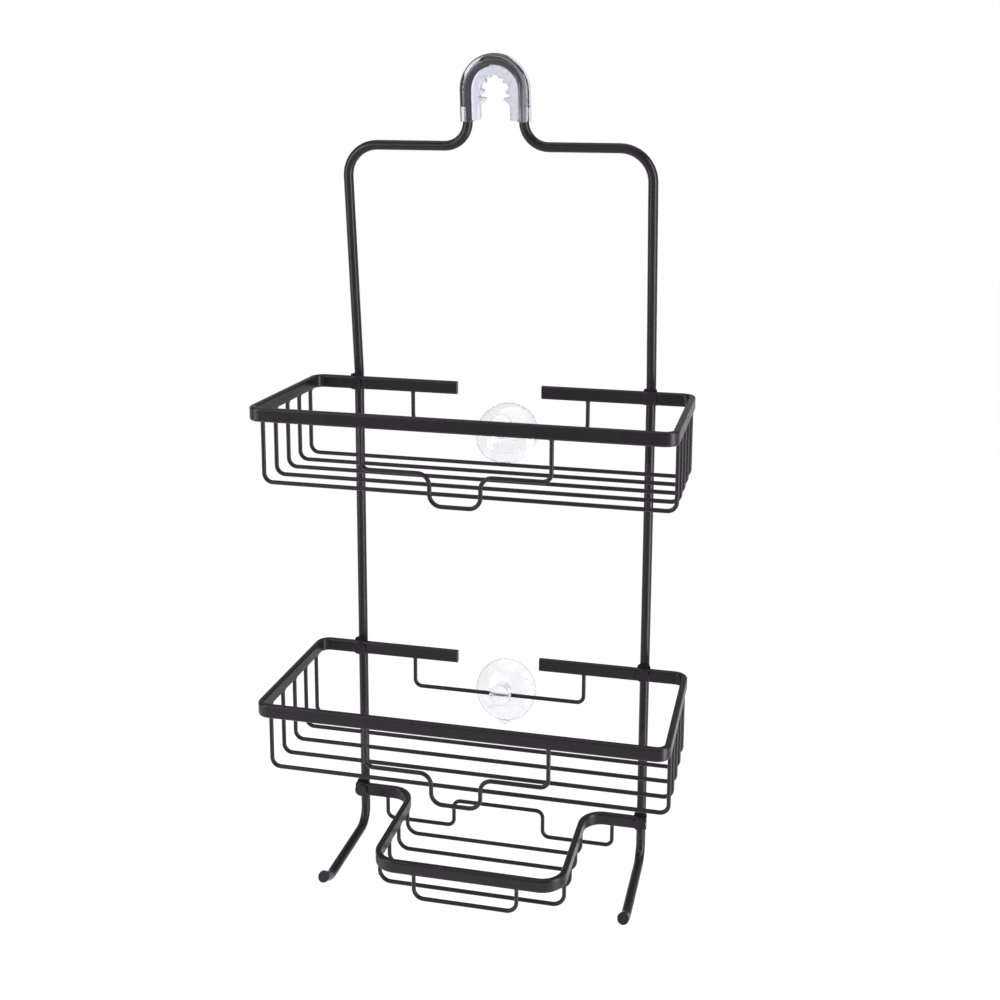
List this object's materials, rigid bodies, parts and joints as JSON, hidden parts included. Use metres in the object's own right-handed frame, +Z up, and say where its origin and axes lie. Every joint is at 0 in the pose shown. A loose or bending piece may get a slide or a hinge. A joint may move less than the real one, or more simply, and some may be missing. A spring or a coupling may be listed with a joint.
{
  "type": "hanging shower caddy",
  "caption": "Hanging shower caddy: bent black tube frame with a toothed clear hook sleeve, wire baskets, a soap dish, forward arms and clear suction cups.",
  "frame": {"origin": "centre of the hook arch, on the axis of the shower arm that the caddy hangs from", "axes": "+Z up, +Y towards the wall, +X to the right for someone facing the wall"},
  "size_m": [0.325, 0.1615, 0.6813],
  "materials": {
    "black_coated_metal": "satin",
    "rivet_caps": "satin",
    "black_plastic": "satin",
    "clear_soft_plastic": "gloss"
  },
  "bodies": {
    "frame": {"frame_tube": "black_coated_metal", "upper_rim": "black_coated_metal", "upper_floor_wire_1": "black_coated_metal", "upper_floor_wire_2": "black_coated_metal", "upper_floor_wire_3": "black_coated_metal", "upper_floor_wire_4": "black_coated_metal", "upper_floor_wire_5": "black_coated_metal", "upper_front_wire": "black_coated_metal", "upper_back_wire": "black_coated_metal", "lower_rim": "black_coated_metal", "lower_floor_wire_1": "black_coated_metal", "lower_floor_wire_2": "black_coated_metal", "lower_floor_wire_3": "black_coated_metal", "lower_floor_wire_4": "black_coated_metal", "lower_floor_wire_5": "black_coated_metal", "lower_front_wire": "black_coated_metal", "lower_back_wire": "black_coated_metal", "dish_rim": "black_coated_metal", "dish_floor_wire_1": "black_coated_metal", "dish_floor_wire_2": "black_coated_metal", "dish_floor_wire_3": "black_coated_metal", "dish_floor_wire_4": "black_coated_metal", "dish_front_wire": "black_coated_metal", "dish_back_wire": "black_coated_metal", "cap_rivet_upper_left": "rivet_caps", "cap_rivet_upper_right": "rivet_caps", "cap_rivet_lower_left": "rivet_caps", "cap_rivet_lower_right": "rivet_caps", "cap_rivet_dish_left": "rivet_caps", "cap_rivet_dish_right": "rivet_caps", "saddle_upper_left": "black_plastic", "saddle_upper_right": "black_plastic", "saddle_lower_left": "black_plastic", "saddle_lower_right": "black_plastic", "saddle_dish_left": "black_plastic", "saddle_dish_right": "black_plastic", "end_plug_left": "black_plastic", "end_plug_right": "black_plastic", "hook_sleeve": "clear_soft_plastic"},
    "upper_cup": {"suction_cup_upper": "clear_soft_plastic"},
    "lower_cup": {"suction_cup_lower": "clear_soft_plastic"}
  },
  "joints": [
    {"name": "upper_cup_turn", "type": "hinge", "parent": "frame", "child": "upper_cup", "pos_m": [0.0026, 0.01618, -0.2732], "axis": [1, 0, 0], "range_deg": [-19, 81]},
    {"name": "lower_cup_turn", "type": "hinge", "parent": "frame", "child": "lower_cup", "pos_m": [0.0026, 0.01618, -0.5096], "axis": [1, 0, 0], "range_deg": [-38, 62]}
  ]
}
